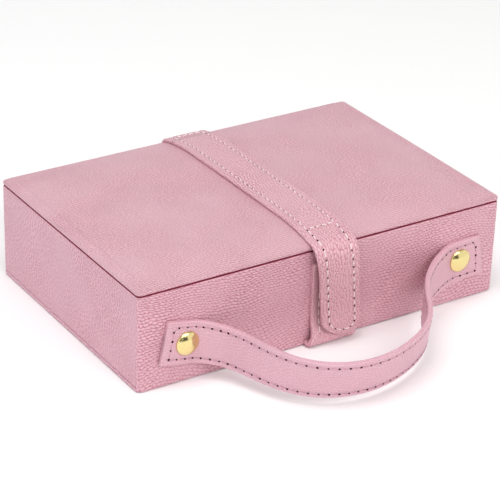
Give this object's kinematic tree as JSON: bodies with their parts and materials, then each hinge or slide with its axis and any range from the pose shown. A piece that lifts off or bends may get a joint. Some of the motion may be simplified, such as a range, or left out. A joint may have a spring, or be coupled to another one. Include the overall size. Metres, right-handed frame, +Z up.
{
  "type": "travel jewelry case",
  "caption": "Flat rectangular leather-covered jewelry case with a hinged lid, a closing strap over the middle and a riveted carrying handle on its front.",
  "frame": {"origin": "middle of the case's flat underside, which rests on the table", "axes": "+X to the right along the long front, +Y from the front to the hinged back, +Z up from the base to the lid"},
  "size_m": [0.205, 0.2001, 0.0581],
  "materials": {
    "leather": "pink leather with a fine lizard grain embossed in it, satin",
    "suede": "pale pink brushed suede cloth, matt",
    "foam": "soft foam wrapped in pale pink suede cloth",
    "board": "plain grey board, hidden under the coverings",
    "brass": "polished pale brass",
    "mirror": "silvered glass",
    "magnet": "plated magnet disc, hidden in the strap"
  },
  "bodies": {
    "case": {"base_cover": "leather", "base_board": "board", "front_board": "board", "rear_board": "board", "left_board": "board", "right_board": "board", "wall_cover": "leather", "wall_lining": "suede", "floor_pad": "suede", "long_divider": "suede", "ring_bed": "foam", "cross_divider_1": "suede", "cross_divider_2": "suede", "cross_divider_3": "suede", "ring_roll_1": "foam", "ring_roll_2": "foam", "ring_roll_3": "foam", "ring_roll_4": "foam", "ring_roll_5": "foam", "keeper_strap": "leather", "keeper_magnet": "magnet", "rear_strap": "leather", "hinge_leather": "leather", "handle_tab_left": "leather", "handle_tab_right": "leather", "rivet_left": "brass", "rivet_right": "brass", "rivet_washer_left": "brass", "rivet_washer_right": "brass"},
    "lid": {"lid_board": "board", "lid_pad": "foam", "lid_cover": "leather", "lid_lining": "suede", "mirror_frame": "suede", "mirror_glass": "mirror", "lid_strap": "leather"},
    "tongue": {"tongue": "leather", "tongue_magnet": "magnet"},
    "handle": {"handle_loop": "leather"}
  },
  "joints": [
    {"name": "lid_hinge", "type": "hinge", "parent": "case", "child": "lid", "pos_m": [0, 0.068, 0.05], "axis": [-1, 0, 0], "range_deg": [0, 110]},
    {"name": "tongue_bend", "type": "hinge", "parent": "lid", "child": "tongue", "pos_m": [0, -0.0723, 0.0497], "axis": [-1, 0, 0], "range_deg": [0, 150]},
    {"name": "handle_swing", "type": "hinge", "parent": "case", "child": "handle", "pos_m": [0, -0.084, 0.02], "axis": [-1, 0, 0], "range_deg": [0, 50]}
  ]
}
